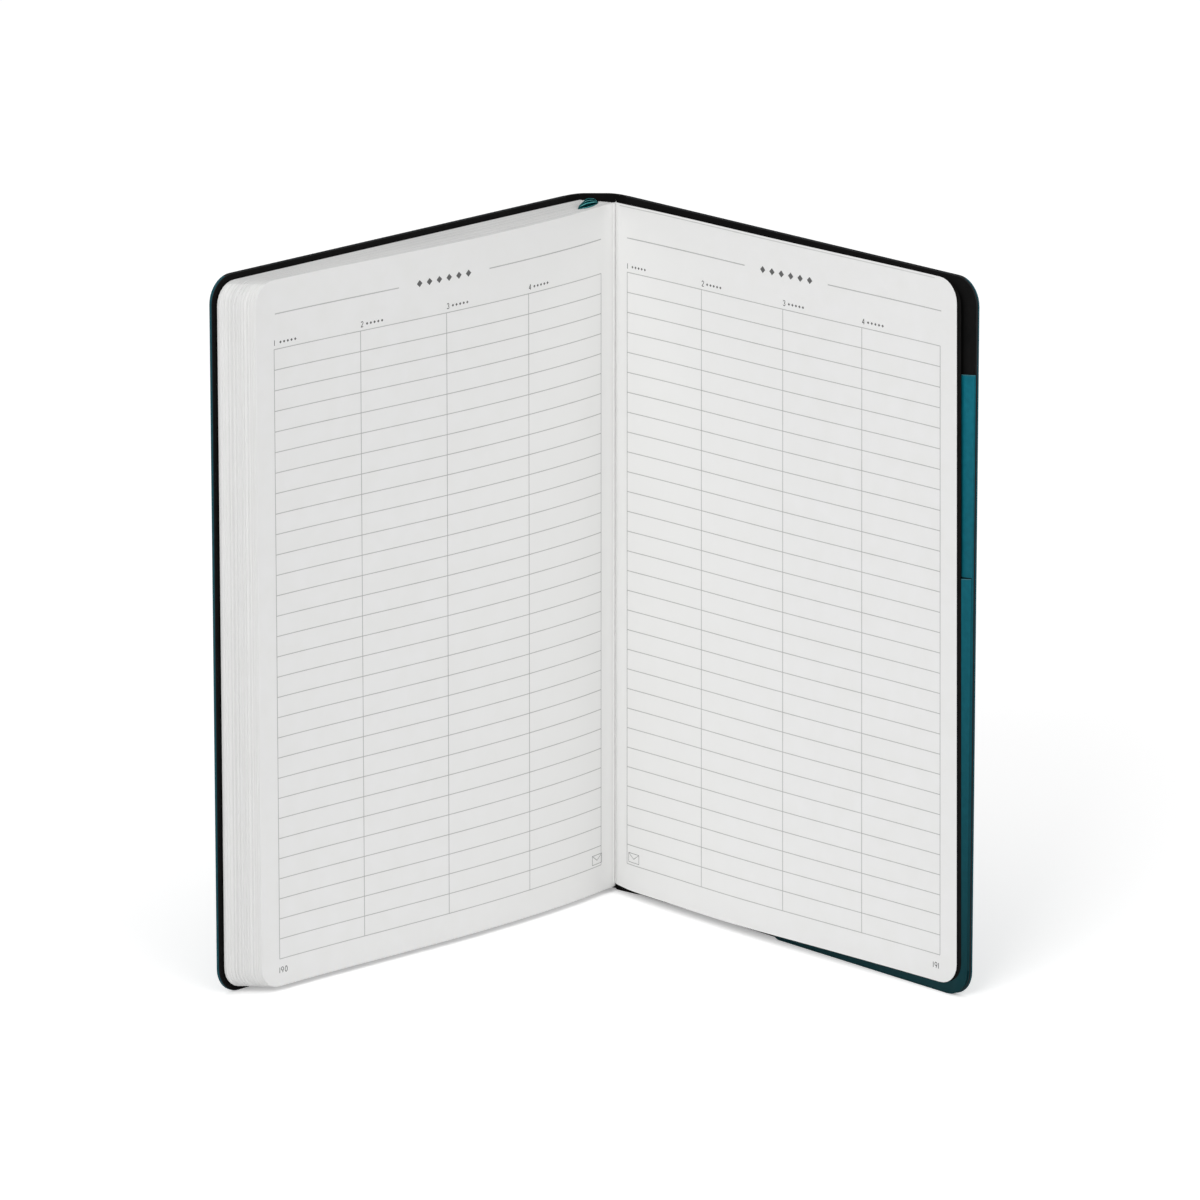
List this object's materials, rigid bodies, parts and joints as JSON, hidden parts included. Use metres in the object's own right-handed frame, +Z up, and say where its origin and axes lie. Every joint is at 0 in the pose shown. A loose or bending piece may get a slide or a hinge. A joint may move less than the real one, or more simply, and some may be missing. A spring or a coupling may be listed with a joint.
{
  "type": "dotted notebook",
  "caption": "Soft-covered notebook standing open: flexible covers, sewn signatures of ruled leaves, flyleaves, ribbon bookmark and a gusseted inner pocket.",
  "frame": {"origin": "middle of the foot of the spine's skin, on the surface that the notebook stands on", "axes": "+Z up along the spine, +X along the opened width from the front cover to the back cover, -Y the side that the pages face"},
  "size_m": [0.248, 0.1267, 0.241],
  "materials": {
    "cover_skin": "matte fine-grained synthetic leather",
    "pocket_panel": "satin smooth synthetic leather",
    "black_paper": "matte dyed paper",
    "stiffener_card": "uncoated grey card",
    "page_paper": "smooth uncoated paper",
    "binding_cotton": "cotton gauze and thread",
    "ribbon_satin": "woven satin"
  },
  "bodies": {
    "spine": {"spine_skin": "cover_skin", "spine_card": "stiffener_card", "spine_lining": "black_paper", "spine_gauze": "binding_cotton", "ribbon_loop": "ribbon_satin", "sewing_thread_01": "binding_cotton", "sewing_thread_02": "binding_cotton", "sewing_thread_03": "binding_cotton", "sewing_thread_04": "binding_cotton", "sewing_thread_05": "binding_cotton", "sewing_thread_06": "binding_cotton", "sewing_thread_07": "binding_cotton", "sewing_thread_08": "binding_cotton", "sewing_thread_09": "binding_cotton", "sewing_thread_10": "binding_cotton", "sewing_thread_11": "binding_cotton", "sewing_thread_12": "binding_cotton"},
    "front_strip": {"front_hinge_strip": "cover_skin", "front_flyleaf": "black_paper"},
    "front_cover": {"front_cover_skin": "cover_skin", "front_cover_card": "stiffener_card", "front_cover_lining": "black_paper"},
    "back_strip": {"back_hinge_strip": "cover_skin", "back_flyleaf": "black_paper"},
    "back_cover": {"back_cover_skin": "cover_skin", "back_cover_card": "stiffener_card", "back_cover_lining": "black_paper", "pocket_back_panel": "pocket_panel", "pocket_gusset": "pocket_panel", "pocket_front_panel": "pocket_panel"},
    "last_leaf": {"last_leaf": "page_paper"},
    "signature_01": {"signature_01": "page_paper"},
    "signature_02": {"signature_02": "page_paper"},
    "signature_03": {"signature_03": "page_paper"},
    "signature_04": {"signature_04": "page_paper"},
    "signature_05": {"signature_05": "page_paper"},
    "signature_06": {"signature_06": "page_paper"},
    "signature_07": {"signature_07": "page_paper", "ribbon_tail": "ribbon_satin"},
    "signature_08": {"signature_08": "page_paper"},
    "signature_09": {"signature_09": "page_paper"},
    "signature_10": {"signature_10": "page_paper"},
    "signature_11": {"signature_11": "page_paper"},
    "signature_12": {"signature_12": "page_paper"}
  },
  "joints": [
    {"name": "front_half_fold", "type": "hinge", "parent": "spine", "child": "front_strip", "pos_m": [-0.00698, 0.0003, 0], "axis": [0, 0, 1], "range_deg": [-6, 44]},
    {"name": "front_cover_open", "type": "hinge", "parent": "front_strip", "child": "front_cover", "pos_m": [-0.00698, 0.0003, 0], "axis": [0, 0, 1], "range_deg": [-128, 0]},
    {"name": "back_half_fold", "type": "hinge", "parent": "spine", "child": "back_strip", "pos_m": [0.00698, 0.0003, 0], "axis": [0, 0, -1], "range_deg": [-6, 41.5]},
    {"name": "back_cover_open", "type": "hinge", "parent": "back_strip", "child": "back_cover", "pos_m": [0.00698, 0.0003, 0], "axis": [0, 0, -1], "range_deg": [-129, 0]},
    {"name": "last_leaf_turn", "type": "hinge", "parent": "back_strip", "child": "last_leaf", "pos_m": [0.0073, -0.00282, 0], "axis": [0, 0, 1], "range_deg": [-80, 0]},
    {"name": "signature_01_fold", "type": "hinge", "parent": "spine", "child": "signature_01", "pos_m": [-0.00509, -0.0016, 0], "axis": [0, 0, 1], "range_deg": [-6, 44]},
    {"name": "signature_02_fold", "type": "hinge", "parent": "spine", "child": "signature_02", "pos_m": [-0.00428, -0.00182, 0], "axis": [0, 0, 1], "range_deg": [-6, 44]},
    {"name": "signature_03_fold", "type": "hinge", "parent": "spine", "child": "signature_03", "pos_m": [-0.00348, -0.00204, 0], "axis": [0, 0, 1], "range_deg": [-6, 44]},
    {"name": "signature_04_fold", "type": "hinge", "parent": "spine", "child": "signature_04", "pos_m": [-0.00268, -0.00226, 0], "axis": [0, 0, 1], "range_deg": [-6, 44]},
    {"name": "signature_05_fold", "type": "hinge", "parent": "spine", "child": "signature_05", "pos_m": [-0.00188, -0.00248, 0], "axis": [0, 0, 1], "range_deg": [-6, 44]},
    {"name": "signature_06_fold", "type": "hinge", "parent": "spine", "child": "signature_06", "pos_m": [-0.00109, -0.0027, 0], "axis": [0, 0, 1], "range_deg": [-6, 44]},
    {"name": "signature_07_fold", "type": "hinge", "parent": "spine", "child": "signature_07", "pos_m": [0.00006, -0.00292, 0], "axis": [0, 0, 1], "range_deg": [-6, 44]},
    {"name": "signature_08_fold", "type": "hinge", "parent": "spine", "child": "signature_08", "pos_m": [0.00086, -0.00314, 0], "axis": [0, 0, 1], "range_deg": [-6, 44]},
    {"name": "signature_09_fold", "type": "hinge", "parent": "spine", "child": "signature_09", "pos_m": [0.00167, -0.00336, 0], "axis": [0, 0, 1], "range_deg": [-6, 44]},
    {"name": "signature_10_fold", "type": "hinge", "parent": "spine", "child": "signature_10", "pos_m": [0.00247, -0.00358, 0], "axis": [0, 0, 1], "range_deg": [-6, 44]},
    {"name": "signature_11_fold", "type": "hinge", "parent": "spine", "child": "signature_11", "pos_m": [0.00327, -0.0038, 0], "axis": [0, 0, 1], "range_deg": [-6, 44]},
    {"name": "signature_12_fold", "type": "hinge", "parent": "spine", "child": "signature_12", "pos_m": [0.00407, -0.00402, 0], "axis": [0, 0, 1], "range_deg": [-6, 44]}
  ],
  "couplings": [
    {"joint": "signature_01_fold", "follows": "front_half_fold", "ratio": 1},
    {"joint": "signature_02_fold", "follows": "front_half_fold", "ratio": 1},
    {"joint": "signature_03_fold", "follows": "front_half_fold", "ratio": 1},
    {"joint": "signature_04_fold", "follows": "front_half_fold", "ratio": 1},
    {"joint": "signature_05_fold", "follows": "front_half_fold", "ratio": 1},
    {"joint": "signature_06_fold", "follows": "front_half_fold", "ratio": 1},
    {"joint": "signature_07_fold", "follows": "front_half_fold", "ratio": 1},
    {"joint": "signature_08_fold", "follows": "front_half_fold", "ratio": 1},
    {"joint": "signature_09_fold", "follows": "front_half_fold", "ratio": 1},
    {"joint": "signature_10_fold", "follows": "front_half_fold", "ratio": 1},
    {"joint": "signature_11_fold", "follows": "front_half_fold", "ratio": 1},
    {"joint": "signature_12_fold", "follows": "front_half_fold", "ratio": 1}
  ]
}
